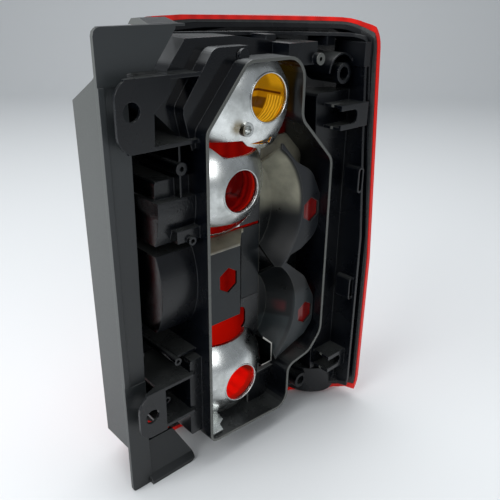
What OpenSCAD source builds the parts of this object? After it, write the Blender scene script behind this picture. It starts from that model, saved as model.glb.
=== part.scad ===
// Rear lamp unit for the left side of a van, drawn as it stands: X runs outboard, Y towards
// the lens face and Z up. The sizes below start at the inboard trim's rear corner on the
// ground, and place() moves the whole lamp to the middle of its two fixing holes.

/* [Lens] */
// Inboard edge of the lens
lens_x0 = 5; // [4:0.5:8]
// Distance from the collar's top to the top of the lens
top_gap = 28; // [24:1:32]
// Distance from the collar's outboard side to the outboard edge of the lens
side_gap = 39; // [34:1:42]
// Fall of the lens's top edge towards the outboard side
lens_drop = 4; // [2:0.5:8]
// Rear edge of the lens inboard, ahead of the trim's rear face
rim_in = 40; // [36:1:44]
// Rear edge of the lens outboard, where it wraps round the vehicle's side
rim_out = -39; // [-44:1:-37]
// Largest depth of the lens face ahead of the trim's rear face
lens_depth = 66; // [60:1:72]
// Thickness of the lens
lens_wall = 3; // [2.5:0.1:3.5]

/* [Housing] */
// Depth of the housing's floor inboard
floor_in = 46; // [44:1:50]
// Depth of the housing's floor outboard
floor_out = -30; // [-34:1:-26]
// Thickness of the housing's floor
floor_t = 3; // [2:0.1:4]
// Rear edge of the housing's rim wall inboard
wall_in = 32; // [30:1:34]
// Rear edge of the housing's rim wall outboard
wall_out = -36; // [-38:0.5:-34]
// Distance of the rim wall's outer face from the lens outline
wall_inset = 11; // [10.5:0.1:12]
// Thickness of the housing's walls
wall_t = 2.2; // [1.8:0.1:2.6]
// Width of the lip between the lens and the groove
lip_w = 3.5; // [3:0.1:4]
// Width of the sealing bead
seal_w = 2; // [1.5:0.1:2.2]

/* [Bulb carrier collar and lamp chambers] */
// Rear face of the collar
collar_y = -20; // [-22:0.5:-18]
// Inboard side of the collar
collar_x0 = 65; // [64:0.5:66]
// Underside of the collar
collar_z0 = 20.5; // [20:0.5:22]
// Width of the left column, which holds three lamp chambers
column_w = 81; // [78:0.5:84]
// Width of the outboard chamber
outboard_w = 48; // [44:0.5:52]
// Height of the fog lamp chamber
fog_h = 104.5; // [100:0.5:110]
// Height of the tail lamp chamber
tail_h = 65; // [62:0.5:70]
// Height of the stop lamp chamber
stop_h = 78; // [75:0.5:82]
// Height of the turn signal chamber
turn_h = 58; // [55:0.5:62]

/* [Fixing tabs] */
// Distance of the fixing holes from the inboard face of the trim
hole_x = 15; // [14:0.5:16]
// Height of the lower fixing hole above the collar's underside
tab_rise = 54; // [50:0.5:58]
// Distance of the upper fixing hole below the collar's top
tab_drop = 24; // [22:0.5:26]
// Diameter of the fixing holes
hole_d = 12; // [10:0.5:13]
// Rear face of the tabs, which seats on the vehicle body
tab_y = -12; // [-13:0.5:-11]
// Thickness of the tabs and their ribs
tab_t = 2.5; // [2:0.1:3]

/* [Reflectors] */
// Depth of the flat flanges of the reflectors
plate_y = 14; // [12:0.5:16]
// Thickness of the reflectors
skin = 2; // [1.5:0.1:2.2]
// Diameter of the turn signal's bulb hole
turn_bulb_d = 34.5; // [32:0.5:36]
// Diameter of the stop and fog lamps' bulb holes
bulb_d = 32.5; // [30:0.5:34]
// Radius of the turn reflector's dome
turn_r = 70; // [66:1:76]
// Radius of the domes of the stop and fog reflectors
dome_r = 50; // [48:1:54]
// Gap between neighbouring reflectors
seam = 0.3; // [0.2:0.05:0.4]
// Gap between the stop and the tail reflectors, which shows the lens
slit = 2.5; // [2:0.1:3]
// Width of the six-sided windows
hex_w = 17.5; // [15:0.5:18]
// Height of the six-sided windows
hex_h = 22; // [20:0.5:24]
// Distance of the outboard windows from the collar's outboard side
window_side = 11; // [11:0.5:13]

/* [Locating boss] */
// Diameter of the locating hole near the upper outboard corner
pin_d = 10.4; // [9:0.1:11]
// Distance of the locating hole from the outboard edge of the lens
pin_side = 27.6; // [25:0.2:29]
// Distance of the locating hole below the collar's top
pin_drop = 16.1; // [14:0.1:18]

/* [Hidden] */
$fn = 64;

// The chambers stack up from the collar's underside, and the lens closes over them
joint_tail = collar_z0 + fog_h;
joint_stop = joint_tail + tail_h;
joint_turn = joint_stop + stop_h;
collar_z1 = joint_turn + turn_h;
lamp_h = collar_z1 + top_gap;
lens_h_outboard = lamp_h - lens_drop;
joint_x = collar_x0 + column_w;
collar_x1 = joint_x + outboard_w;
lamp_w = collar_x1 + side_gap;
hole_z_low = collar_z0 + tab_rise;
hole_z_high = collar_z1 - tab_drop;
hole_z_mid = (hole_z_low + hole_z_high) / 2;
pin_x = lamp_w - pin_side;
pin_z = collar_z1 - pin_drop;
window_x = collar_x1 - window_side;
window_z_high = joint_stop + 10;
window_z_low = joint_tail - 24;
turn_x = joint_x - 15;
turn_z = collar_z1 - 28;
stop_x = joint_x - 42;
stop_z = joint_turn - 34;
fog_z = collar_z0 + 41.5;
bulb_x = stop_x + 2;
bulb_drop = 2;
turn_crest = -12;
crest = -11;
far = 90;
eps = 0.01;
bend = 2.6;

black = [0.07, 0.075, 0.085];
silver = [0.78, 0.79, 0.8];
grey = [0.36, 0.36, 0.33];
red = [0.75, 0.05, 0.03];
amber = [0.88, 0.58, 0.05];

// Rounded and inset outlines: a corner is [x, y, radius]
function xy(p) = [p[0], p[1]];
function unit(v) = v / norm(v);
function turned(v) = [-v[1], v[0]];
function arc_steps(r) = r > 15 ? 7 : r > 5 ? 5 : 3;
function corner(a, b, c, r) =
  let (
    u = unit(a - b),
    v = unit(c - b),
    half = acos(max(-1, min(1, u * v))) / 2,
    t = r / tan(half),
    centre = b + unit(u + v) * r / sin(half),
    s = b + u * t - centre,
    e = b + v * t - centre,
    sweep = (180 - 2 * half) * sign(s[0] * e[1] - s[1] * e[0]),
    n = arc_steps(r)
  )
  [for (i = [0:n]) centre + [
    s[0] * cos(sweep * i / n) - s[1] * sin(sweep * i / n),
    s[0] * sin(sweep * i / n) + s[1] * cos(sweep * i / n)]];
function rounded(p) = [for (i = [0:len(p) - 1])
  each p[i][2] <= 0 ? [xy(p[i])]
    : corner(xy(p[(i + len(p) - 1) % len(p)]), xy(p[i]), xy(p[(i + 1) % len(p)]), p[i][2])];
function inset(p, d) = [for (i = [0:len(p) - 1])
  let (
    a = xy(p[(i + len(p) - 1) % len(p)]),
    b = xy(p[i]),
    c = xy(p[(i + 1) % len(p)]),
    n = turned(unit(b - a)),
    m = turned(unit(c - b)),
    shifted = b + (n + m) * d / (1 + n * m),
    outward = (b - a)[0] * (c - b)[1] - (b - a)[1] * (c - b)[0] > 0,
    r = p[i][2] == 0 ? 0 : max(0.4, p[i][2] + (outward ? -d : d))
  )
  [shifted[0], shifted[1], r]];

// Extrusions along Y, X and Z
module front(y0, y1) {
  translate([0, y1, 0]) rotate([90, 0, 0]) linear_extrude(y1 - y0) children();
}
module side(x0, x1) {
  translate([x0, 0, 0]) rotate([90, 0, 90]) linear_extrude(x1 - x0) children();
}
module plan(z0, z1) {
  translate([0, 0, z0]) linear_extrude(z1 - z0) children();
}
module box(x0, x1, y0, y1, z0, z1) {
  translate([x0, y0, z0]) cube([x1 - x0, y1 - y0, z1 - z0]);
}
module rod(x, z, r, y0, y1) {
  translate([x, y1, z]) rotate([90, 0, 0]) cylinder(r = r, h = y1 - y0);
}

// Curves seen from above, which bend rearwards to the outboard side
function sweep_y(x, w, y_in, y_out) = y_out + (y_in - y_out) * sqrt(max(0, 1 - pow(x / w, bend)));
function sweep_line(w, y_in, y_out, dy = 0) =
  concat([[-20, y_in + dy]], [for (i = [0:12])
    let (x = w * pow(sin(i * 90 / 12), 2 / bend)) [x, sweep_y(x, w, y_in, y_out) + dy]],
    [[w + 40, y_out + dy]]);
module ahead_of(w, y_in, y_out, dy = 0) {
  plan(-20, lamp_h + 40)
    polygon(concat(sweep_line(w, y_in, y_out, dy), [[w + 40, far], [-20, far]]));
}
// The rim's rear edge seen from the side, which leans forwards above the middle
function rim_edge(dy) = [[rim_out + dy, -20], [rim_out + dy, joint_tail + 25],
  [rim_out + 11 + dy, lamp_h - 2], [rim_out + 11 + dy, lamp_h + 40]];
module ahead_of_rim(dy = 0) {
  intersection() {
    ahead_of(lamp_w - 5, rim_in, rim_out, dy);
    side(-20, lamp_w + 40) polygon(concat(rim_edge(dy), [[far, lamp_h + 40], [far, -20]]));
  }
}
module behind(w, y_in, y_out, dy) {
  plan(-20, lamp_h + 40)
    polygon(concat(sweep_line(w, y_in, y_out, dy), [[w + 40, -80], [-20, -80]]));
}
module behind_rim(dy) {
  behind(lamp_w - 5, rim_in, rim_out, dy);
  side(-20, lamp_w + 40) polygon(concat([[-80, lamp_h + 40], [-80, -20]], rim_edge(dy)));
}
module behind_floor(dy = 0) {
  behind(lamp_w + 4, floor_in, floor_out, dy);
}

// The lens outline from behind, from the outboard side and from above
corner_x = 55;
corner_z = 69;
back_outline = [[lens_x0, 52, 6], [64, 0, 10], [lamp_w, 0, 24], [lamp_w, lens_h_outboard, 22],
  [collar_x0 + 1, lamp_h, 12], [lens_x0 + corner_x, lamp_h - 2, 8], [lens_x0, lamp_h - corner_z, 6]];
side_outline = [[-80, 0, 0], [lens_depth, 0, 26], [lens_depth, lamp_h - 16, 20],
  [rim_in - 4, lamp_h, 12], [-80, lamp_h - 4, 0]];
plan_outline = [[lens_x0 - 1, -60, 0], [lamp_w, -60, 0], [lamp_w + 1.5, 0, 40],
  [joint_x + 19, lens_depth - 6, 60], [collar_x0 + 15, lens_depth, 80], [16, lens_depth - 11, 14],
  [lens_x0 - 1, rim_in - 6, 6]];

module lens_space(d, face) {
  intersection() {
    front(-70, far) polygon(rounded(inset(back_outline, d)));
    side(-20, lamp_w + 40) polygon(rounded(inset(side_outline, d)));
    plan(-20, lamp_h + 40) polygon(rounded(inset(plan_outline, face)));
  }
}
module lens_shell() {
  difference() {
    intersection() {
      lens_space(0, 0);
      ahead_of_rim();
    }
    lens_space(lens_wall, lens_wall);
  }
}

// The clear part of the lens, over the turn signal
window_outline = [[-12, joint_turn - 6, 0], [joint_x + 22, joint_turn - 6, 10],
  [joint_x + 14, collar_z1 + 5, 12], [collar_x0 + 1, collar_z1 + 11, 4], [collar_x0 + 1, lamp_h + 26, 0],
  [-12, lamp_h + 26, 0]];
module window_space() {
  front(-80, far) polygon(rounded(window_outline));
}
module lens_red() {
  color(red) difference() {
    lens_shell();
    window_space();
  }
}
module lens_clear() {
  color([0.75, 0.75, 0.75, 0.5]) intersection() {
    lens_shell();
    window_space();
  }
}

// The collar's outline from behind, along the middle of its wall
collar_outline = [[collar_x0, collar_z0 + 5.5, 6], [joint_x + 6, collar_z0, 12],
  [joint_x + 6.5, joint_tail - 64, 9], [collar_x1 - 14, joint_tail - 59, 14],
  [collar_x1, joint_tail - 43, 16], [collar_x1, joint_turn - 24, 12], [joint_x + 11, joint_turn + 13, 14],
  [joint_x + 11.5, collar_z1, 16], [joint_x - 44, collar_z1, 10], [collar_x0 + 1, joint_turn + 15, 9]];
module collar_shape(d) {
  polygon(rounded(inset(collar_outline, d)));
}

// The tray between the lens rim and the collar
module tray() {
  skirt = lens_wall + seam;
  lip = lens_wall + seal_w + lip_w;
  difference() {
    intersection() {
      lens_space(skirt, skirt);
      ahead_of(lamp_w - 14, wall_in, wall_out);
      side(-20, lamp_w + 40) polygon([[wall_out, -20], [wall_out, joint_stop - 17],
        [wall_out + 6.6, joint_turn - 10], [wall_out + 10, collar_z1 - 13],
        [wall_out + 10, lamp_h + 20], [far, lamp_h + 20], [far, -20]]);
      behind_floor(floor_t);
    }
    intersection() {
      lens_space(wall_inset + 2.5, skirt + floor_t);
      behind_floor();
    }
    intersection() {
      behind_floor();
      difference() {
        lens_space(lip, skirt + floor_t);
        lens_space(wall_inset, 0);
      }
    }
    difference() {
      behind_rim(1.5);
      lens_space(lip, 0);
    }
    difference() {
      behind_rim(4);
      lens_space(lens_wall + seal_w, 0);
    }
  }
}

// Space that the walls and ribs on the tray's floor may fill
module tray_space() {
  intersection() {
    lens_space(wall_inset + 1, skirt_gap);
    behind_floor(1);
  }
}
skirt_gap = lens_wall + seam + 1;

// A fixing tab with its two ribs; z0 and z1 are the ribs' outer faces
module tab(shape, z0, z1, reach) {
  front(tab_y, tab_y + tab_t) polygon(rounded(shape));
  for (z = [z0, z1 - tab_t])
    plan(z, z + tab_t) polygon([[hole_x - 4, tab_y], [reach, tab_y], [collar_x0 + 2, 0],
      [collar_x0 + 2, 38], [24, 38], [23, tab_y + 7], [hole_x - 4, tab_y + tab_t]]);
}
upper_tab = [[hole_x - 11, hole_z_high - 26, 12], [hole_x + 15, hole_z_high - 26, 0],
  [hole_x + 16, hole_z_high - 3, 0], [hole_x + 29, hole_z_high + 9, 0],
  [hole_x + 29, hole_z_high + 19.5, 0], [hole_x - 11, hole_z_high + 19.5, 12]];
lower_tab = [[hole_x - 11, hole_z_low - 18.5, 10], [hole_x + 12.5, hole_z_low - 18.5, 0],
  [hole_x + 12.5, hole_z_low + 20.5, 0], [hole_x - 11, hole_z_low + 20.5, 14]];

// Guide socket open to the rear and towards the collar
module socket(x0, z0, w, h) {
  difference() {
    box(x0, x0 + w, collar_y - 10, collar_y + 9, z0, z0 + h);
    box(x0 - 1, lamp_w - wall_inset - 3, collar_y - 8, collar_y + 8, z0 + 2, z0 + h - 2);
    front(collar_y - 11, collar_y) polygon(rounded([[x0 - 3, z0 + 4, 0], [x0 + w * 0.6, z0 + 4, 4],
      [x0 + w * 0.6, z0 + h - 4, 4], [x0 - 3, z0 + h - 4, 0]]));
  }
}

// Blocks that stand on the tray's floor, moulded hollow from the lens side
shoulder = [[collar_x0 - 3, joint_turn + 2, 0], [joint_x - 36, joint_turn + 30, 0],
  [joint_x - 34, collar_z1 + 9, 0], [collar_x0 + 17, collar_z1 + 9, 9], [collar_x0 - 10, joint_turn + 30, 9]];
top_block = [[40, joint_turn + 28, 0], [collar_x0 + 10, joint_turn - 6, 0], [joint_x + 4, joint_turn + 32, 0],
  [joint_x, collar_z1 + 10, 8], [collar_x0 + 20, collar_z1 + 18, 0], [40, collar_z1 + 18, 0]];
low_pad = [[52, collar_z0 + 13.5, 2], [collar_x0 + 5, collar_z0 + 13.5, 0], [collar_x0 + 5, collar_z0 + 84.5, 0],
  [53, collar_z0 + 84.5, 3]];
raised_pad = [[36, joint_turn - 33, 0], [collar_x0 + 1, joint_turn - 33, 0],
  [collar_x0 + 1, joint_turn - 17, 0], [36, joint_turn - 17, 3]];
side_shelf = [[collar_x1 - 2, collar_z0 + 15.5, 0], [lamp_w - 10, collar_z0 + 15.5, 0],
  [lamp_w - 10, joint_turn + 28, 0], [collar_x1 - 14, joint_turn + 28, 4]];
module block(shape, y) {
  front(y, 60) polygon(rounded(shape));
}
module core(shape, y) {
  front(y + wall_t, far) polygon(rounded(inset(shape, wall_t)));
}

// Shallow round back of the space between the trim and the collar; z is its crest
module bulge(z, r, z0, z1, t = 0) {
  intersection() {
    translate([33 + t, r - 7, z]) rotate([0, 90, 0]) cylinder(r = r - t, h = collar_x0 - 32 - t, $fn = 96);
    box(32, collar_x0 + 1, -9, far, z0 + t, z1 - t);
  }
}
module bulges(t = 0) {
  bulge(joint_stop + 44, 70, joint_stop + 15, joint_stop + 48, t);
  bulge(joint_tail + 44, 64, joint_tail + 8, joint_tail + 72, t);
}
module top_curve() {
  side(30, joint_x + 20) polygon(rounded([[2, joint_turn - 10, 0], [far, joint_turn - 10, 0],
    [far, collar_z1 + 18, 0], [2, collar_z1 + 18, 5]]));
}

module boss(x, z, r, y, bore = 0, deep = 10) {
  difference() {
    rod(x, z, r, y, 46);
    if (bore > 0) rod(x, z, bore, y - 1, y + deep);
  }
}

// Smooth pocket at the lower outboard corner
module smooth_pocket(t) {
  translate([lamp_w - 16, 12, 2 + t]) cylinder(r = 31 - t, h = 31 - 2 * t);
  if (t > 0) box(lamp_w - 32, lamp_w - 12, 0, 40, 10, 30);
}

module hood() {
  intersection() {
    difference() {
      rod(pin_x, pin_z, 15.5, -15, 40);
      rod(pin_x, pin_z, 14.2, -16, 41);
    }
    box(pin_x - 20, pin_x + 12, -16, 41, pin_z + 1, pin_z + 20);
  }
}

// Loop on the inner side of the rim wall
module wall_loop(z) {
  loop = [[lamp_w - 19, z - 11, 3.2], [lamp_w - 12, z - 11, 3.2], [lamp_w - 12, z + 11, 3.2],
    [lamp_w - 19, z + 11, 3.2]];
  front(-33, -18) difference() {
    polygon(rounded(loop));
    polygon(rounded(inset(loop, 1.6)));
  }
}

// Bosses, ribs and pads that stand on the tray's floor
module floor_details() {
  boss(collar_x0 - 12, joint_turn - 9, 4.6, -8, 1.7);
  box(collar_x0 - 12.8, collar_x0 - 11.2, -6, 46, joint_turn - 30, joint_turn + 8);
  box(collar_x0 - 20, collar_x0, -11, 46, joint_stop + 17, joint_stop + 26);
  boss(collar_x0 - 9, joint_stop + 17.5, 3.2, -14, 1.6);
  boss(36.5, hole_z_low - 3, 3.2, 0, 1.6);
  boss(43, collar_z0 + 88.5, 3.2, -8, 1.5);
  box(42.2, collar_x0, -2, 46, collar_z0 + 87.5, collar_z0 + 89.5);
  box(joint_x - 1, joint_x + 29, -15, 46, collar_z1 - 7, collar_z1 + 9);
  boss(joint_x + 28, collar_z1 - 3, 4.4, -20, 1.6);
  boss(joint_x - 39, collar_z1 + 3, 4.5, -10);
  boss(pin_x, pin_z, 8, -17, pin_d / 2, 16);
  hood();
  boss(lamp_w - 15, collar_z0 + 44.5, 3, -10, 1.2);
  boss(collar_x1 - 8, collar_z0 + 1.5, 7.5, -6, 4.4, 8);
  box(joint_x - 62, joint_x - 42, 16, 46, collar_z1 + 4, collar_z1 + 20);
  box(joint_x - 6, joint_x + 4, 4, 46, collar_z1 + 8, collar_z1 + 20);
  box(lamp_w - 35, lamp_w - 26, -4, 46, collar_z1 + 4, collar_z1 + 20);
}

module housing() {
  color(black) difference() {
    union() {
      tray();
      // Collar
      intersection() {
        front(collar_y, 60) collar_shape(-wall_t / 2);
        behind_floor(floor_t);
      }
      intersection() {
        tray_space();
        union() {
          block(shoulder, -8);
          intersection() {
            block(top_block, 2);
            top_curve();
          }
          block(low_pad, -9);
          block(raised_pad, 1);
          block(side_shelf, -12);
          bulges();
          floor_details();
        }
      }
      intersection() {
        behind_floor(1);
        lens_space(lens_wall + seal_w + 1, skirt_gap);
        union() {
          socket(collar_x1 - 4, joint_turn + 1, 33, 19);
          socket(collar_x1 + 2, collar_z0 + 18.5, 29, 17);
          box(lamp_w - 16, lamp_w - 9, -27, 20, collar_z1 - 11, collar_z1 + 7);
          smooth_pocket(0);
        }
      }
      wall_loop(joint_stop + 34);
      wall_loop(joint_tail - 3);
      tab(upper_tab, hole_z_high - 26, hole_z_high + 19.5, collar_x0 + 3);
      tab(lower_tab, hole_z_low - 16.5, hole_z_low + 20.5, 54);
    }
    front(-60, far) collar_shape(wall_t / 2);
    difference() {
      union() {
        core(shoulder, -8);
        core(top_block, 16);
        core(low_pad, -9);
        core(raised_pad, 1);
        core(side_shelf, -12);
        bulges(wall_t);
        smooth_pocket(wall_t);
      }
      front(-60, far) collar_shape(-wall_t / 2);
      difference() {
        lens_space(0, 0);
        lens_space(wall_inset + 1 + wall_t, 0);
      }
    }
    for (z = [hole_z_low, hole_z_high]) rod(hole_x, z, hole_d / 2, tab_y - 5, tab_y + 8);
  }
}

// Bead between the lens and the housing
module lens_seal() {
  color([0.55, 0.56, 0.57]) difference() {
    intersection() {
      lens_space(lens_wall, lens_wall);
      ahead_of_rim(1);
      behind_rim(4);
    }
    lens_space(lens_wall + seal_w, 0);
  }
}

// Trim that covers the gap beside the lamp, with an ear above and a scooped ear below
module inboard_trim() {
  strip = [[0, 0, 3], [18, 0, 0], [17, 33, 0], [20.5, joint_turn + 6, 0], [20.5, lamp_h - 31, 0],
    [39, lamp_h - 31, 0], [60, lamp_h - 4, 2], [0, lamp_h - 4, 5]];
  ear = [[10, 0, 0], [57, 0, 6], [59.5, 6, 4], [46, 33, 3], [10, 33, 0]];
  cap_z = lamp_h - 5;
  color(black) difference() {
    union() {
      front(0, 3) polygon(rounded(strip));
      intersection() {
        side(16, 60) polygon([[-4, 0], [0, 0], [3, 6], [12, 33], [9.5, 33], [1, 7], [-4, 3]]);
        front(-10, 20) polygon(rounded(ear));
      }
      side(15.5, 17.5) polygon([[0, 0], [3, 0], [3, 6], [12, 33], [0, 33]]);
      plan(cap_z - 0.5, cap_z + 1) polygon([[4, 1], [66, 1], [66, 9], [58, 10], [4, 4]]);
      intersection() {
        side(38, 66) polygon([[5, cap_z], [28, cap_z], [28, cap_z + 3.5], [20, cap_z + 4.2], [8, cap_z + 1.5],
          [5, cap_z + 1.2]]);
        front(0, 40) polygon([[40, cap_z - 1], [44, cap_z + 4.5], [64, cap_z + 4.5], [64, cap_z - 1]]);
      }
      side(2.2, lens_x0 - seam)
        polygon([[1, 39], [rim_in - 2, 39], [rim_in - 2, lamp_h - 50], [6, collar_z1 - 4.5], [1, collar_z1 - 2]]);
      box(0, 4, -0.8, 1, hole_z_low + 26.5, hole_z_high + 14);
      for (z = [hole_z_low + 45.5, hole_z_high - 52]) box(8, 19, 1, wall_in - 0.5, z, z + 3);
    }
    box(5, 30, -1, 0.8, hole_z_low + 24.5, hole_z_high + 14);
  }
}

// Reflectors: a flat flange with a domed back
module chamber(z0, z1, x1) {
  intersection() {
    collar_shape(wall_t / 2);
    translate([0, z0 + seam / 2]) square([x1, z1 - z0 - seam]);
  }
}
module dome_space(x, z, crest, r, y1) {
  intersection() {
    translate([x, crest + r, z]) rotate([90, 0, 0]) sphere(r = r, $fn = 96);
    box(x - r, x + r, crest - 1, y1, z - r, z + r);
  }
}
module dome_reflector(z, z0, z1) {
  intersection() {
    front(crest - 1, plate_y + skin) chamber(z0, z1, joint_x - seam / 2);
    difference() {
      union() {
        dome_space(stop_x, z, crest, dome_r, plate_y + skin);
        box(0, lamp_w, plate_y, plate_y + skin, 0, lamp_h);
      }
      dome_space(stop_x, z, crest + skin, dome_r - skin, plate_y + skin + 1);
      rod(bulb_x, z - bulb_drop, bulb_d / 2, crest - 2, crest + 30);
    }
  }
}

module hex_hole(x, z, y0, y1) {
  front(y0, y1) polygon([[x - hex_w / 2, z - hex_h / 4], [x, z - hex_h / 2], [x + hex_w / 2, z - hex_h / 4],
    [x + hex_w / 2, z + hex_h / 4], [x, z + hex_h / 2], [x - hex_w / 2, z + hex_h / 4]]);
}

// Turn reflector: its lower edge drops in a tongue with a slot, and its right side follows the hole
turn_outline = [[0, joint_turn, 0], [turn_x - 19, joint_turn, 0], [turn_x - 13, joint_turn - 5, 3],
  [turn_x + 2, joint_turn - 10, 8], [turn_x + 15, joint_turn - 7.5, 2], [turn_x + 21, joint_turn + 17, 16],
  [turn_x + 22, joint_turn + 37, 14], [turn_x + 9, collar_z1 - 1, 8], [turn_x + 7, lamp_h, 0], [0, lamp_h, 0]];
tongue_slot = [[turn_x - 11, joint_turn - 3.5, 0], [turn_x + 2, joint_turn - 5.5, 2],
  [turn_x + 10, joint_turn - 5.5, 1], [turn_x + 9.5, joint_turn - 0.5, 0.5]];
module turn_reflector() {
  stake_x = turn_x - 18.5;
  stake_z = joint_turn + 9;
  color(silver) difference() {
    intersection() {
      front(-13, plate_y + skin) intersection() {
        collar_shape(wall_t / 2);
        polygon(rounded(turn_outline));
      }
      difference() {
        union() {
          dome_space(turn_x, turn_z, turn_crest, turn_r, plate_y + skin);
          rod(stake_x, stake_z, 5.2, -8.5, plate_y + 1);
        }
        difference() {
          dome_space(turn_x, turn_z, turn_crest + skin, turn_r - skin, plate_y + skin + 1);
          rod(stake_x, stake_z, 5.2, -8.5, 0);
        }
        rod(stake_x, stake_z, 3.2, -9, -4);
        rod(turn_x, turn_z, turn_bulb_d / 2, turn_crest - 2, 20);
      }
    }
    front(-14, 30) polygon(rounded(tongue_slot));
  }
}
// Stop reflector: its top edge clears the tongue, and the lens shows under its dome
stop_top = [[60, joint_turn - 2.5, 0], [collar_x0 + 22, joint_turn - 2.5, 0], [collar_x0 + 29, joint_turn - 10.4, 0],
  [collar_x0 + 47, joint_turn - 11, 0], [joint_x + 4, joint_turn - 11, 0], [joint_x + 4, joint_turn + 2, 0],
  [60, joint_turn + 2, 0]];
stop_slit = [[60, joint_stop + 6, 0], [stop_x - 4, joint_stop + 6, 0], [stop_x + 14, joint_stop + 9.5, 0],
  [stop_x + 30, joint_stop + 21, 0], [stop_x + 16, joint_stop + 16.5, 0], [stop_x, joint_stop + 15, 0],
  [60, joint_stop + 16, 0]];
module stop_reflector() {
  color(silver) difference() {
    dome_reflector(stop_z, joint_stop + slit, joint_turn - 2);
    front(-14, 30) polygon(rounded(stop_top));
    difference() {
      front(-14, 30) polygon(rounded(stop_slit));
      box(0, collar_x0 + 4, -20, 40, 0, lamp_h);
    }
  }
}
// Tail reflector: a box with a flat back, a sloping top and one sloping flank
module tail_box(t) {
  intersection() {
    front(-8, plate_y + skin + t) collar_shape(wall_t / 2);
    plan(joint_tail - 5, joint_stop + 5) polygon([[60, -5 + t], [joint_x - 38 - t * 0.8, -5 + t],
      [joint_x - 18 - t * 1.4, plate_y + skin + t], [60, plate_y + skin + t]]);
    side(50, joint_x - 6) polygon([[-6, joint_tail + seam + t], [30, joint_tail + seam + t],
      [30, joint_stop - t], [plate_y, joint_stop - t], [-5, joint_stop - 3 - t], [-6, joint_stop - 3 - t]]);
  }
}
module tail_reflector() {
  color(grey) difference() {
    union() {
      tail_box(0);
      front(plate_y, plate_y + skin) chamber(joint_tail, joint_stop, joint_x - seam / 2);
    }
    difference() {
      tail_box(skin);
      front(-20, 30) difference() {
        collar_shape(0);
        collar_shape(wall_t / 2 + skin);
      }
    }
    hex_hole(joint_x - 50, joint_tail + 35, -12, 20);
  }
}
module fog_reflector() {
  window = [[60, joint_tail - 29, 0], [joint_x - 15, joint_tail - 29, 6], [joint_x - 15, joint_tail - 8, 6],
    [60, joint_tail - 8, 0]];
  shelf_z = joint_tail - 71;
  tab_z = collar_z0 + 6.6;
  color(silver) difference() {
    union() {
      dome_reflector(fog_z, 0, joint_tail);
      intersection() {
        front(-20, plate_y) collar_shape(wall_t / 2);
        difference() {
          union() {
            box(joint_x - 22, joint_x + 14, 2, 4, 0, shelf_z);
            box(joint_x - 22, joint_x + 14, -1, 4, shelf_z - 2, shelf_z);
            plan(tab_z, tab_z + 1.5) polygon([[67, -16], [80, -16], [82, -9], [88, -6], [92, plate_y], [67, plate_y]]);
          }
          dome_space(stop_x, fog_z, crest + skin, dome_r - skin, plate_y + 1);
        }
      }
    }
    front(-14, 30) polygon(rounded(window));
  }
}

// Outboard reflector: two round bowls that leave a crescent of land each, dark and deep beyond
upper_land = [[joint_x - 6, joint_turn + 2, 0], [joint_x + 17, joint_turn - 23, 16], [joint_x + 36, joint_stop + 44, 24],
  [joint_x + 49, joint_stop + 19, 20], [joint_x + 47, joint_stop - 12, 20], [joint_x + 27, joint_stop - 23, 14],
  [joint_x - 6, joint_stop - 29, 0]];
lower_land = [[joint_x - 6, joint_tail + 41, 0], [joint_x + 8, joint_tail + 35, 8], [joint_x + 33, joint_tail + 14, 20],
  [joint_x + 46.5, joint_tail - 11, 16], [joint_x + 46.5, joint_tail - 36, 14], [joint_x + 36, joint_tail - 46, 8],
  [joint_x - 6, joint_tail - 60, 0]];
module land(shape) {
  difference() {
    front(-10, plate_y + skin) polygon(rounded(shape));
    front(-8, plate_y) polygon(rounded(inset(shape, skin)));
  }
}
module bowl(x, z, r, t, y0, y1) {
  translate([x, y1, z]) rotate([90, 0, 0]) cylinder(r1 = r - 14 * (y1 - y0) / 26 - t, r2 = r - t, h = y1 - y0);
}
module outboard_reflector() {
  upper = [joint_x - 37, joint_stop + 16];
  lower = [joint_x - 34, joint_tail - 11];
  color(grey) difference() {
    intersection() {
      front(-10, plate_y + skin) intersection() {
        collar_shape(wall_t / 2);
        translate([joint_x + seam / 2, joint_tail - 61]) square([60, joint_turn - joint_tail + 55]);
      }
      union() {
        box(0, lamp_w, plate_y, plate_y + skin, 0, lamp_h);
        land(upper_land);
        land(lower_land);
        bowl(upper[0], upper[1], 66, 0, -10, plate_y + skin);
        bowl(lower[0], lower[1], 59, 0, -10, plate_y + skin);
      }
    }
    bowl(upper[0], upper[1], 66, skin, -10 - eps, plate_y);
    bowl(lower[0], lower[1], 59, skin, -10 - eps, plate_y);
    hex_hole(window_x, window_z_high, -12, 30);
    hex_hole(window_x - 1, window_z_low, -12, 30);
  }
}

// Coloured caps round the bulbs, seated inside the domes
module filter_cap(x, z, r, top, dome, y1, dx = 0, dz = 0) {
  intersection() {
    difference() {
      rod(x + dx, z + dz, r, top, y1);
      rod(x + dx, z + dz, r - 1.8, top - 1, y1 - 1.8);
    }
    translate([x, top + dome, z]) rotate([90, 0, 0]) sphere(r = dome - skin, $fn = 96);
    front(-20, far) collar_shape(wall_t / 2 + seam);
  }
}
module amber_filter() {
  lip_z = joint_turn - 5.8;
  color(amber) union() {
    filter_cap(turn_x, turn_z, 22.5, turn_crest, turn_r, 26);
    difference() {
      box(turn_x - 7, turn_x + 9, 5.5, 7, lip_z, turn_z - 19);
      rod(turn_x, turn_z, 21.6, 0, 20);
    }
  }
}
module stop_filter() {
  color(red) filter_cap(stop_x, stop_z, 21.5, crest, dome_r, 24, bulb_x - stop_x, -bulb_drop);
}
module fog_filter() {
  color(red) filter_cap(stop_x, fog_z, 21.5, crest, dome_r, 24, bulb_x - stop_x, -bulb_drop);
}

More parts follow.
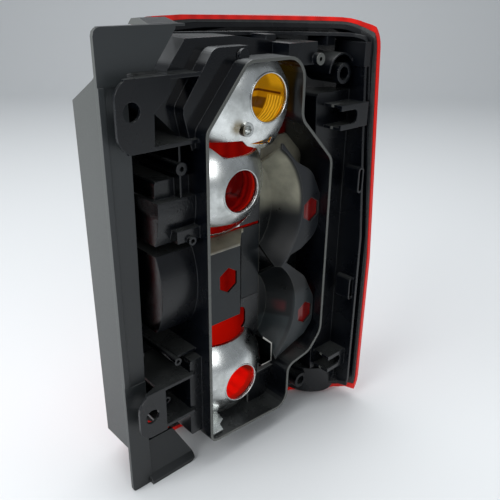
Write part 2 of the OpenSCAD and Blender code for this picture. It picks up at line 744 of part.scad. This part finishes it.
// Red panes behind the six-sided windows of the outboard reflector
module window_pane(x, z) {
  color(red) box(x - hex_w / 2 - 0.2, x + hex_w / 2 + 0.2, -8, -6.5, z - hex_h / 2 - 2, z + hex_h / 2 + 2);
}
module upper_window_pane() {
  window_pane(window_x, window_z_high);
}
module lower_window_pane() {
  window_pane(window_x - 1, window_z_low);
}

// Prismatic panel bonded to the inner face of the lens
module reflex_panel() {
  color(red) intersection() {
    difference() {
      lens_space(lens_wall, lens_wall);
      lens_space(lens_wall + 2.5, lens_wall + 2.5);
    }
    box(collar_x0 - 5, joint_x - 6, 40, far, joint_tail + 9, joint_stop - 8);
  }
}

// Spring clip that holds the fog reflector against its neighbour
module spring_clip() {
  z = joint_tail - 61;
  x = joint_x - 1.7;
  color([0.7, 0.7, 0.68]) difference() {
    front(-7, plate_y) polygon([[x - 11.3, z + 30], [x, z + 19], [x, z], [x - 12.3, z], [x - 12.3, z + 1.3],
      [x - 1.3, z + 1.3], [x - 1.3, z + 18.4], [x - 11.3, z + 28.2]]);
    dome_space(stop_x, fog_z, crest - seam, dome_r + seam, plate_y + 1);
  }
}

module place() {
  translate([-hole_x, -tab_y, -hole_z_mid]) children();
}

place() housing();
place() inboard_trim();
place() lens_red();
place() lens_clear();
place() lens_seal();
place() turn_reflector();
place() stop_reflector();
place() tail_reflector();
place() fog_reflector();
place() outboard_reflector();
place() amber_filter();
place() stop_filter();
place() fog_filter();
place() upper_window_pane();
place() lower_window_pane();
place() reflex_panel();
place() spring_clip();
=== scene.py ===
import math
import bpy
import bmesh
from mathutils import Matrix, Vector


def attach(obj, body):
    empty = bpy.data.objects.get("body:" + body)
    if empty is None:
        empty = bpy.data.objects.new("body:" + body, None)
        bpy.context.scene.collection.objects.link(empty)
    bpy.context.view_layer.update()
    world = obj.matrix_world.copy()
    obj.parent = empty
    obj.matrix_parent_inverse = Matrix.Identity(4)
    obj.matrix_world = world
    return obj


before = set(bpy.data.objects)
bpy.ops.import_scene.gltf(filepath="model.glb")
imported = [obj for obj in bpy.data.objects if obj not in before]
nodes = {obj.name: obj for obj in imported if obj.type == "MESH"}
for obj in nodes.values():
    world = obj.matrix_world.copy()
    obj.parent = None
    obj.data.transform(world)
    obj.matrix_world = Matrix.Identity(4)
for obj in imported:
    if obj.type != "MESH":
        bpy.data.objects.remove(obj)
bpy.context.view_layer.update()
print("frame loaded:", len(nodes), "nodes")

# The camera comes first: off the lamp's inboard rear corner, just above it, looking down on it
view = {"place": (-0.18955, -0.31389, 0.18441), "heading": 42.4, "tiltDown": 23.95, "roll": 0.64,
        "lens": 42.98, "sensor": 36, "nearest": 0.01}
camera = bpy.data.objects.new("camera", bpy.data.cameras.new("camera"))
camera.data.lens = view["lens"]
camera.data.sensor_width = view["sensor"]
camera.data.clip_start = view["nearest"]
turn = Matrix.Rotation(math.radians(-view["heading"]), 4, "Z")
tilt = Matrix.Rotation(math.radians(90 - view["tiltDown"]), 4, "X")
roll = Matrix.Rotation(math.radians(view["roll"]), 4, "Z")
camera.matrix_world = Matrix.Translation(view["place"]) @ turn @ tilt @ roll
bpy.context.scene.collection.objects.link(camera)
bpy.context.scene.camera = camera
bpy.context.scene.view_settings.view_transform = "Standard"
print("camera placed")

X, Y, Z = 0, 1, 2
# The frame's origin in the drawing, whose millimetres start on the ground at the trim's rear corner
origin = (15, -12, 188.25)
edgeLook = {"samples": 6, "flat": 0.995, "sharp": 0.80}


def millimetres(x, y, z):  # a point of the drawing, in the frame's metres
    return tuple((value - start) / 1000 for value, start in zip((x, y, z), origin))


def hexColor(text):  # sRGB hex to linear
    parts = [int(text[i:i + 2], 16) / 255 for i in (1, 3, 5)]
    return [p / 12.92 if p <= 0.04045 else ((p + 0.055) / 1.055) ** 2.4 for p in parts] + [1.0]


def outputOf(source):  # a node stands for its first output
    return source if isinstance(source, bpy.types.NodeSocket) else source.outputs[0]


def addNode(tree, kind, settings=None, links=None):
    node = tree.nodes.new(kind)
    for key, value in (settings or {}).items():
        if isinstance(key, int) or key in node.inputs:
            node.inputs[key].default_value = value
        else:
            setattr(node, key, value)
    for key, source in (links or {}).items():
        tree.links.new(outputOf(source), node.inputs[key])
    return node


def newMaterial(name):
    material = bpy.data.materials.new(name)
    material.use_nodes = True
    tree = material.node_tree
    tree.nodes.clear()
    out = addNode(tree, "ShaderNodeOutputMaterial")
    shader = addNode(tree, "ShaderNodeBsdfPrincipled")
    tree.links.new(shader.outputs[0], out.inputs[0])
    place = addNode(tree, "ShaderNodeTexCoord").outputs["Object"]
    return material, tree, shader, place


def wire(tree, shader, sockets, values=None):
    for key, source in sockets.items():
        tree.links.new(outputOf(source), shader.inputs[key])
    for key, value in (values or {}).items():
        shader.inputs[key].default_value = value


def remap(tree, value, low, high, toLow=0.0, toHigh=1.0, smooth=False):
    settings = {"From Min": low, "From Max": high, "To Min": toLow, "To Max": toHigh}
    if smooth:
        settings["interpolation_type"] = "SMOOTHSTEP"
    return addNode(tree, "ShaderNodeMapRange", settings, {"Value": value})


def overlap(tree, *masks):  # 1 where every mask is 1
    result = masks[0]
    for mask in masks[1:]:
        result = addNode(tree, "ShaderNodeMath", {"operation": "MULTIPLY"}, {0: result, 1: mask})
    return result


def scaled(tree, mask, share):
    return addNode(tree, "ShaderNodeMath", {"operation": "MULTIPLY", 1: share}, {0: mask})


def axisOf(tree, vector, axis):
    return addNode(tree, "ShaderNodeSeparateXYZ", {}, {0: vector}).outputs[axis]


def facing(tree, axis, low, high):  # 0 to 1 as the face turns towards an axis
    normal = addNode(tree, "ShaderNodeNewGeometry").outputs["Normal"]
    return remap(tree, axisOf(tree, normal, axis), low, high)


def spot(tree, place, centre, inner, outer, power=1.0):  # power inside a ball, fading to 0 outside it
    away = addNode(tree, "ShaderNodeVectorMath", {"operation": "DISTANCE", 1: millimetres(*centre)}, {0: place})
    return remap(tree, away.outputs["Value"], outer / 1000, inner / 1000, 0.0, power, smooth=True)


def band(tree, place, axis, low, high, blur=0.6):  # 1 where a coordinate lies between two values
    value = axisOf(tree, place, axis)
    shift = millimetres(0, 0, 0)[axis]
    rise = remap(tree, value, shift + (low - blur) / 1000, shift + (low + blur) / 1000, smooth=True)
    fall = remap(tree, value, shift + (high + blur) / 1000, shift + (high - blur) / 1000, smooth=True)
    return overlap(tree, rise, fall)


def zone(tree, place, *limits):  # 1 where all bands meet; a limit is an axis, two values and a blur
    return overlap(tree, *[band(tree, place, *limit) for limit in limits])


def softNormal(tree, radius):  # the normal, rounded at the edges
    return addNode(tree, "ShaderNodeBevel", {"samples": edgeLook["samples"], "Radius": radius / 1000})


def edgeMask(tree, soft):  # 1 on sharp outer and inner edges
    flat = addNode(tree, "ShaderNodeNewGeometry").outputs["Normal"]
    align = addNode(tree, "ShaderNodeVectorMath", {"operation": "DOT_PRODUCT"}, {0: soft, 1: flat})
    return remap(tree, align.outputs["Value"], edgeLook["flat"], edgeLook["sharp"])


def noise(tree, place, scale, detail=2.0, **settings):
    return addNode(tree, "ShaderNodeTexNoise", {"Scale": scale, "Detail": detail, **settings}, {"Vector": place})


def waves(tree, place, direction, scale, **settings):
    node = addNode(tree, "ShaderNodeTexWave", {"bands_direction": direction, "Scale": scale, **settings},
                   {"Vector": place})
    return node.outputs["Fac"]


def bumped(tree, height, strength, depth, normal=None, **settings):  # depth in millimetres
    links = {"Height": height} if normal is None else {"Height": height, "Normal": normal}
    return addNode(tree, "ShaderNodeBump", {"Strength": strength, "Distance": depth / 1000, **settings}, links)


def twoTone(tree, factor, first, second):
    settings = {"data_type": "RGBA", 6: hexColor(first), 7: hexColor(second)}
    return addNode(tree, "ShaderNodeMix", settings, {0: factor}).outputs[2]


def paint(tree, base, tone, mask):
    return addNode(tree, "ShaderNodeMix", {"data_type": "RGBA", 7: hexColor(tone)}, {0: mask, 6: base}).outputs[2]


# Black ABS, injection moulded: cold black with a fine spark-eroded grain, polished where the tool was
blackAbs = {"dark": "#010206", "light": "#04070c", "edge": "#343a42", "rimHighlight": "#6a6c68", "dust": "#3c3e3d",
            "raked": "#77797a", "shadedFlank": "#000102", "grain": 0.7, "cloud": 38.0, "crumple": 620.0}


def blackHousing():
    material, tree, shader, place = newMaterial("blackAbsMoulded")
    cloud = noise(tree, place, 1000 / blackAbs["cloud"], 4.0, Roughness=0.55)
    grain = noise(tree, place, 1000 / blackAbs["grain"])
    soft = softNormal(tree, 0.7)
    colour = twoTone(tree, cloud, blackAbs["dark"], blackAbs["light"])
    # Painted highlight: sharp edges are painted paler for the light they catch, with some edge wear too
    colour = paint(tree, colour, blackAbs["edge"], scaled(tree, edgeMask(tree, soft), 0.30))
    # Painted highlight: a pale line along the collar's rear edge, where it catches the light
    rim = zone(tree, place, (Y, -22, -19.4, 0.2), (X, 62, 197, 0.5))
    colour = paint(tree, colour, blackAbs["rimHighlight"], scaled(tree, rim, 0.6))
    # Dust lies on the faces that look up
    dust = overlap(tree, facing(tree, Z, 0.6, 0.98), remap(tree, cloud, 0.35, 0.65, 0.25, 0.8))
    colour = paint(tree, colour, blackAbs["dust"], dust)
    # The top of the upper left block is the brightest, a pale grey where light rakes over the polish
    raked = overlap(tree, facing(tree, Z, 0.4, 0.9), zone(tree, place, (Z, 326, 345, 2), (X, 30, 152, 6)))
    colour = paint(tree, colour, blackAbs["raked"], scaled(tree, raked, 0.8))
    # The smooth block at the upper left was polished in the tool and shines more
    rough = remap(tree, cloud, 0.3, 0.7, 0.22, 0.34)
    gloss = spot(tree, place, (85, -10, 325), 34, 80, 0.16)
    rough = addNode(tree, "ShaderNodeMath", {"operation": "SUBTRACT"}, {0: rough, 1: gloss})
    # Painted shade: the flanks deep beside the trim are painted black for the shade the trim casts there, and they
    # are made glossier
    shadedFlank = overlap(tree, facing(tree, X, -0.5, -0.9), zone(tree, place, (X, 24, 63, 1), (Z, 95, 275, 3)))
    colour = paint(tree, colour, blackAbs["shadedFlank"], shadedFlank)
    rough = addNode(tree, "ShaderNodeMath", {"operation": "MULTIPLY_ADD", 1: -0.14}, {0: shadedFlank, 2: rough})
    # Crumpled grain in a band across the upper bulge
    crumple = noise(tree, place, blackAbs["crumple"], 4.0, Distortion=0.2)
    patch = zone(tree, place, (Z, 228, 238, 3), (X, 30, 64, 1))
    coarse = bumped(tree, overlap(tree, crumple, patch), 0.6, 0.8, soft)
    fine = bumped(tree, grain, 0.12, 0.2, coarse)
    wire(tree, shader, {"Base Color": colour, "Roughness": rough, "Normal": fine},
         {"IOR": 1.54, "Specular IOR Level": 0.42})
    return material


# Dark grey ABS, injection moulded with a fine etched grain: greyer and duller than the housing
# The tone kept under dust here is painted light on the inboard faces; edge is a painted edge highlight with some
# wear
trimAbs = {"dark": "#0b0e10", "light": "#15191b", "edge": "#4d5152", "dust": "#6b6e6c", "rearTopTone": "#34383a",
           "grain": 0.5, "cloud": 14.0}


def darkTrim():
    material, tree, shader, place = newMaterial("greyBlackAbsEtched")
    cloud = noise(tree, place, trimAbs["cloud"], 3.0)
    grain = noise(tree, place, 1000 / trimAbs["grain"])
    soft = softNormal(tree, 0.6)
    colour = twoTone(tree, cloud, trimAbs["dark"], trimAbs["light"])
    # Painted highlight: sharp edges are painted paler for the light they catch, with some edge wear too
    colour = paint(tree, colour, trimAbs["edge"], scaled(tree, edgeMask(tree, soft), 0.45))
    # Painted light: the faces that look inboard, towards the left lamp, are painted pale, more so towards the top
    litTowardsTop = remap(tree, axisOf(tree, place, Z), -0.15, 0.15, 0.12, 0.62)
    colour = paint(tree, colour, trimAbs["dust"], overlap(tree, facing(tree, X, -0.2, -0.9), litTowardsTop))
    # The rear face is paler towards the top
    rearTopTone = overlap(tree, facing(tree, Y, -0.5, -0.95), band(tree, place, Z, 230, 400, 90))
    colour = paint(tree, colour, trimAbs["rearTopTone"], scaled(tree, rearTopTone, 0.7))
    rough = remap(tree, grain, 0.3, 0.7, 0.34, 0.48)
    etched = bumped(tree, grain, 0.15, 0.2, soft)
    wire(tree, shader, {"Base Color": colour, "Roughness": rough, "Normal": etched}, {"IOR": 1.54})
    return material


# Aluminium skin, vacuum metallised on moulded plastic: satin silver, dusty, with cloudy dull patches
silverSkin = {"bright": "#e2e5e4", "dull": "#adb0ae", "stain": "#6b5a30", "paintedShade": "#04060a",
              "cloud": 16.0, "dust": 1500.0}


def silverReflector(name, stains=(), paintedShade=()):
    material, tree, shader, place = newMaterial(name)
    cloud = noise(tree, place, 1000 / silverSkin["cloud"], 5.0, Roughness=0.6)
    dust = noise(tree, place, silverSkin["dust"])
    colour = twoTone(tree, remap(tree, cloud, 0.35, 0.7), silverSkin["bright"], silverSkin["dull"])
    broken = remap(tree, cloud, 0.3, 0.5)
    for centre, inner, outer, power, tone in stains:
        colour = paint(tree, colour, tone, overlap(tree, spot(tree, place, centre, inner, outer, power), broken))
    # Painted shade: boxes on the flange are painted near black and made non-metallic, standing for the shade there
    metal = addNode(tree, "ShaderNodeValue")
    metal.outputs[0].default_value = 1.0
    for x0, x1, y0, y1, z0, z1 in paintedShade:
        shadedBox = zone(tree, place, (X, x0, x1), (Y, y0, y1, 0.4), (Z, z0, z1))
        colour = paint(tree, colour, silverSkin["paintedShade"], shadedBox)
        metal = addNode(tree, "ShaderNodeMath", {"operation": "SUBTRACT", "use_clamp": True},
                        {0: metal, 1: shadedBox})
    rough = remap(tree, cloud, 0.3, 0.7, 0.20, 0.36)
    speckled = bumped(tree, dust, 0.18, 0.1, softNormal(tree, 0.5))
    wire(tree, shader, {"Base Color": colour, "Roughness": rough, "Normal": speckled, "Metallic": metal})
    return material


# Dark grey plastic, the unmetallised back of the moulding: half gloss, streaked by the masking spray; its pale
# beige tones are painted light and reflection
greyPlastic = {"edge": "#77766c", "cloud": 55.0, "streak": (60.0, 60.0, 300.0), "dots": 520.0}


def greyReflector(name, base, regions, dotted=()):
    material, tree, shader, place = newMaterial(name)
    stretch = addNode(tree, "ShaderNodeMapping", {"Scale": greyPlastic["streak"]}, {"Vector": place})
    streak = noise(tree, stretch, 1.0, 4.0)
    cloud = noise(tree, place, greyPlastic["cloud"], 4.0)
    colour = addNode(tree, "ShaderNodeRGB")
    colour.outputs[0].default_value = hexColor(base)
    for (x0, x1, y0, y1, z0, z1), blur, tone, power in regions:
        mask = zone(tree, place, (X, x0, x1, blur), (Y, y0, y1, min(blur, 2)), (Z, z0, z1, blur))
        colour = paint(tree, colour, tone, scaled(tree, mask, power))
    worn = remap(tree, cloud, 0.3, 0.7, 0.55, 1.15)
    colour = addNode(tree, "ShaderNodeVectorMath", {"operation": "MULTIPLY"}, {0: colour, 1: worn})
    soft = softNormal(tree, 0.6)
    # Painted highlight: sharp edges are painted paler for the light they catch, with some edge wear too
    colour = paint(tree, colour, greyPlastic["edge"], scaled(tree, edgeMask(tree, soft), 0.45))
    rough = remap(tree, cloud, 0.3, 0.7, 0.26, 0.40)
    relief = bumped(tree, streak, 0.15, 0.2, soft)
    if dotted:  # the height range of the dotted flank
        dots = addNode(tree, "ShaderNodeTexVoronoi", {"Scale": greyPlastic["dots"], "Randomness": 0.15},
                       {"Vector": place})
        flank = overlap(tree, facing(tree, X, 0.25, 0.5), band(tree, place, Z, *dotted, 1))
        relief = bumped(tree, overlap(tree, dots.outputs["Distance"], flank), 0.8, 1.2, relief, invert=True)
    wire(tree, shader, {"Base Color": colour, "Roughness": rough, "Normal": relief},
         {"IOR": 1.5, "Specular IOR Level": 0.3})
    return material


# Acrylic, moulded and dyed in the mass: glossy. A faint glow stands for the daylight from the lens side
acrylic = {"cloud": 90.0, "turn": 6.283, "clear": "#e9ebec", "clearWaves": 50.0, "haze": 60.0, "IOR": 1.49}


def dyedAcrylic(name, tone, deepTone, glow, fluteSize=3.2, roughness=0.08, patches=(), lit=()):
    material, tree, shader, place = newMaterial(name)
    flutes = waves(tree, place, "X", 1000 / fluteSize / acrylic["turn"] * 0.5, Distortion=1.0, Detail=1.0)
    cloud = noise(tree, place, acrylic["cloud"], 3.0)
    colour = twoTone(tree, overlap(tree, flutes, cloud), tone, deepTone)
    for (y0, y1, z0, z1), blur, patchTone, rippleSize in patches:
        mask = zone(tree, place, (Y, y0, y1, blur), (Z, z0, z1, blur))
        if rippleSize:
            ripples = waves(tree, place, "Y", 1000 / rippleSize / acrylic["turn"],
                            Distortion=2.5, Detail=1.0, **{"Detail Scale": 2.0})
            mask = overlap(tree, mask, ripples)
        colour = paint(tree, colour, patchTone, mask)
    # Daylight glows through on the inner faces only
    for centre, inner, outer, litTone in lit:
        glowing = overlap(tree, spot(tree, place, centre, inner, outer), facing(tree, Y, 0.3, -0.2))
        colour = paint(tree, colour, litTone, glowing)
    fluted = bumped(tree, flutes, 0.3, 0.6)
    wire(tree, shader, {"Base Color": colour, "Emission Color": colour, "Normal": fluted},
         {"Roughness": roughness, "IOR": acrylic["IOR"], "Emission Strength": glow})
    return material


def clearAcrylic():
    material, tree, shader, place = newMaterial("clearAcrylicMoulded")
    rough = remap(tree, noise(tree, place, acrylic["haze"]), 0.0, 1.0, 0.05, 0.2)
    fluted = bumped(tree, waves(tree, place, "X", acrylic["clearWaves"]), 0.3, 0.5)
    wire(tree, shader, {"Roughness": rough, "Normal": fluted},
         {"Base Color": hexColor(acrylic["clear"]), "Transmission Weight": 0.85, "IOR": acrylic["IOR"]})
    return material


# Hot-melt bead, extruded: matt grey, slightly lumpy
hotMelt = {"dark": "#15181a", "light": "#3c4040", "lumps": 350.0}


def greyBead():
    material, tree, shader, place = newMaterial("greyHotMeltBead")
    lumps = noise(tree, place, hotMelt["lumps"], 3.0)
    colour = twoTone(tree, lumps, hotMelt["dark"], hotMelt["light"])
    wire(tree, shader, {"Base Color": colour, "Normal": bumped(tree, lumps, 0.4, 0.4)}, {"Roughness": 0.45})
    return material


# Spring steel strip, rolled and sheared: grey metal with fine lines, darker on every face but those that look
# rearward
springStrip = {"dark": "#8c8b86", "light": "#c4c2bb", "awayTone": "#15191b", "lines": (3000.0, 200.0, 200.0)}


def springSteel():
    material, tree, shader, place = newMaterial("springSteelRolled")
    stretch = addNode(tree, "ShaderNodeMapping", {"Scale": springStrip["lines"]}, {"Vector": place})
    lines = noise(tree, stretch, 1.0)
    colour = twoTone(tree, lines, springStrip["dark"], springStrip["light"])
    turnedAway = addNode(tree, "ShaderNodeMath", {"operation": "SUBTRACT", 0: 1.0}, {1: facing(tree, Y, -0.3, -0.8)})
    colour = paint(tree, colour, springStrip["awayTone"], turnedAway)
    rough = remap(tree, lines, 0.0, 1.0, 0.25, 0.45)
    wire(tree, shader, {"Base Color": colour, "Roughness": rough}, {"Metallic": 1.0})
    return material


# All positions below are in the drawing's millimetres. A stain has a centre, an inner and an outer radius, a
# strength and a tone; a painted shade box has x, y and z from and to
stopSilver = silverReflector("aluminiumSkinStop", paintedShade=[(124, 147, 13.6, 17, 190, 222)])
fogSilver = silverReflector(
    "aluminiumSkinFog",
    # The fog reflector's two grey patches darken the silver above its dome
    stains=[((96, 4, 100), 2, 10, 0.4, "#4a4a46"), ((122, 0, 84), 2, 12, 0.5, "#5a5a55")],
    paintedShade=[(124, 147, 13.6, 17, 82, 126), (124, 162, -2, 13.5, 0, 54)])
turnSilver = silverReflector(
    "aluminiumSkinStained",
    stains=[((105, -7, 278), 3, 9, 0.8, silverSkin["stain"]), ((110, 0, 264), 2, 6, 0.5, silverSkin["stain"])])

# A patch has y and z from and to, a blur, a tone and the size of its ripples, 0 for none; a lit ball has
# a centre, an inner and an outer radius and a tone
redLens = dyedAcrylic("redAcrylicLens", "#c9160b", "#8c0b06", 0.22,
                      lit=[((138, 62, 68), 12, 34, "#ff1a08"), ((84, 60, 262), 8, 26, "#ff2010")])
stopCap = dyedAcrylic("redAcrylicStopCap", "#7c0a08", "#4c0505", 0.14, 2.2, 0.12, [
    ((-20, 1.5, 200, 250), 1.5, "#e02410", 0),
    ((11.8, 12.8, 218, 240), 0.3, "#4a0404", 0),
    ((6, 40, 219, 220.6), 0.5, "#4c0405", 0),
    ((-2, 12, 205, 240), 1, "#9a100c", 3.0)])
fogCap = dyedAcrylic("redAcrylicFogCap", "#e81208", "#b40c06", 0.45, 2.2, 0.12, [
    ((-12, 40, 56, 90), 2.5, "#5c1a10", 0),
    ((-14, 2, 30, 58), 2, "#a81a10", 0)])
darkRed = dyedAcrylic("redAcrylicPane", "#6a0a0a", "#3a0404", 0.10)
amberCap = dyedAcrylic("amberAcrylicCap", "#b8860c", "#7a5206", 0.38, 2.6, 0.1, [
    ((-14, 40, 300, 330), 1.5, "#9a7410", 0),
    ((-14, 10, 303, 320), 3, "#c89a18", 0),
    ((-1, 27, 297.2, 299.0), 0.4, "#4a2406", 0),
    ((14, 26, 285, 293), 0.6, "#5a3a08", 0),
    ((-4, 13, 276, 296), 0.6, "#e8bc30", 1.5),
    ((-14, -3, 270, 290), 1.0, "#f09a0c", 0),
    ((-10, 8, 262, 277), 1.5, "#f4ae1c", 0)])

# A region has a box, a blur, a tone and a strength
# Painted light on the tail box: a pale band on its top face and a paler line along its top edge are painted
# highlights. The left part of its rear face, from z 126 to 180, is a little paler
tailBox = greyReflector("greyPlasticTailBox", "#14181b", [
    ((60, 128, -4.6, 18, 187.2, 192), 0.5, "#8a8674", 0.9),
    ((60, 128, -8, 17, 186.6, 187.3), 0.2, "#b5b3a6", 0.9),
    ((60, 110, -8, -4.5, 126, 180), 12, "#23282b", 0.9)], (126, 186))
# Painted light in the outboard bowls: the upper bowl's beige is a painted reflection of the floor, the crescent
# lands and the lower bowl's floor are painted lit, and the red patch is a painted reflection of the window
bowls = greyReflector("greyPlasticBowls", "#05080a", [
    ((140, 190, -8, 17, 206, 262), 11, "#8a8878", 0.95),
    ((140, 200, -12, -8.6, 150, 262), 5, "#1b1e23", 0.9),
    ((140, 200, -12, -8.6, 60, 126), 5, "#2c3134", 0.9),
    ((140, 185, -7, 17, 60, 101), 1.5, "#262d2f", 0.9),
    ((160, 176, -2, 17, 106, 115), 3, "#4a1216", 0.8)])

looks = {
    "housing": blackHousing(), "inboard_trim": darkTrim(),
    "lens_red": redLens, "lens_clear": clearAcrylic(), "lens_seal": greyBead(), "reflex_panel": redLens,
    "turn_reflector": turnSilver, "stop_reflector": stopSilver, "fog_reflector": fogSilver,
    "tail_reflector": tailBox, "outboard_reflector": bowls,
    "amber_filter": amberCap, "stop_filter": stopCap, "fog_filter": fogCap,
    "upper_window_pane": darkRed, "lower_window_pane": darkRed, "spring_clip": springSteel()}
for name, material in looks.items():
    mesh = nodes[name].data
    mesh.materials.clear()
    mesh.materials.append(material)
beadSilver = silverReflector("aluminiumSkinRolledBead")
print("materials set")


def finishPiece(name, mesh, material):
    data = bpy.data.meshes.new(name)
    mesh.to_mesh(data)
    mesh.free()
    for face in data.polygons:
        face.use_smooth = True
    data.materials.append(material)
    piece = bpy.data.objects.new(name, data)
    bpy.context.scene.collection.objects.link(piece)
    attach(piece, "root")
    return piece


# Raised bead moulded round each bulb hole: its centre in x, y and z, then its radius
bead = {"wire": 0.7, "sides": 14, "steps": 96, "join": 1e-6,
        "holes": {"turnBead": (131, -9.9, 298, 17.9), "stopBead": (106, -8.2, 232, 16.8),
                  "fogBead": (106, -8.2, 60, 16.8)}}
for name, (x, y, z, radius) in bead["holes"].items():
    mesh = bmesh.new()
    ring = bmesh.ops.create_circle(mesh, segments=bead["sides"], radius=bead["wire"] / 1000)["verts"]
    bmesh.ops.transform(mesh, matrix=Matrix.Translation((radius / 1000, 0, 0)), verts=ring)
    bmesh.ops.spin(mesh, geom=mesh.verts[:] + mesh.edges[:], cent=(0, 0, 0), axis=(0, 1, 0), angle=math.tau,
                   steps=bead["steps"], use_merge=True)
    bmesh.ops.remove_doubles(mesh, verts=mesh.verts, dist=bead["join"])
    bmesh.ops.transform(mesh, matrix=Matrix.Translation(millimetres(x, y, z)), verts=mesh.verts)
    bmesh.ops.recalc_face_normals(mesh, faces=mesh.faces)
    finishPiece(name, mesh, beadSilver)
print("beads made")

# Plain pale sweep: floor and backdrop in one sheet, with a round bend between them; in metres
sweep = {"ground": -0.18826, "wide": 6.0, "near": -3.0, "far": 2.6, "radius": 0.8, "tall": 3.0,
         "step": 6, "tone": "#d0d3d5", "roughness": 0.6}
bend = sweep["far"] - sweep["radius"]
profile = [(sweep["near"], 0.0), (bend, 0.0)]
profile += [(bend + sweep["radius"] * math.sin(math.radians(a)), sweep["radius"] * (1 - math.cos(math.radians(a))))
            for a in range(sweep["step"], 91, sweep["step"])]
profile += [(sweep["far"], sweep["tall"])]
mesh = bmesh.new()
line = [mesh.verts.new((-sweep["wide"] / 2, y, z)) for y, z in profile]
edges = [mesh.edges.new((a, b)) for a, b in zip(line, line[1:])]
made = bmesh.ops.extrude_edge_only(mesh, edges=edges)
side = [v for v in made["geom"] if isinstance(v, bmesh.types.BMVert)]
bmesh.ops.translate(mesh, vec=(sweep["wide"], 0, 0), verts=side)
bmesh.ops.transform(mesh, matrix=Matrix.Rotation(math.radians(-view["heading"]), 4, "Z"), verts=mesh.verts)
bmesh.ops.translate(mesh, vec=(0, 0, sweep["ground"]), verts=mesh.verts)
data = bpy.data.meshes.new("sweep")
mesh.to_mesh(data)
mesh.free()
for face in data.polygons:
    face.use_smooth = True
floor = bpy.data.objects.new("sweep", data)
bpy.context.scene.collection.objects.link(floor)
paper, tree, shader, _ = newMaterial("palePaper")
wire(tree, shader, {}, {"Base Color": hexColor(sweep["tone"]), "Roughness": sweep["roughness"]})
data.materials.append(paper)

# Each lamp is a soft square: its place, its side and its power. All look at one point by the object's middle
lamps = {"leftSoft": ((-1.3, 0.1, 0.9), 1.2, 25.0), "topSoft": ((0.3, 0.3, 1.6), 1.4, 27.0),
         "rearSoft": ((-0.5, -1.6, 0.9), 1.0, 8.0)}
lampAim = Vector((0.1, 0.02, 0))
for name, (lampPlace, size, power) in lamps.items():
    lamp = bpy.data.lights.new(name, "AREA")
    lamp.size = size
    lamp.energy = power
    item = bpy.data.objects.new(name, lamp)
    item.location = lampPlace
    item.rotation_euler = (lampAim - Vector(lampPlace)).to_track_quat("-Z", "Y").to_euler()
    bpy.context.scene.collection.objects.link(item)
skyLook = {"tone": "#dde3e9", "strength": 0.38}
world = bpy.data.worlds.new("studio")
bpy.context.scene.world = world
world.use_nodes = True
sky = world.node_tree.nodes["Background"]
sky.inputs["Color"].default_value = hexColor(skyLook["tone"])
sky.inputs["Strength"].default_value = skyLook["strength"]
print("stage and lamps set")
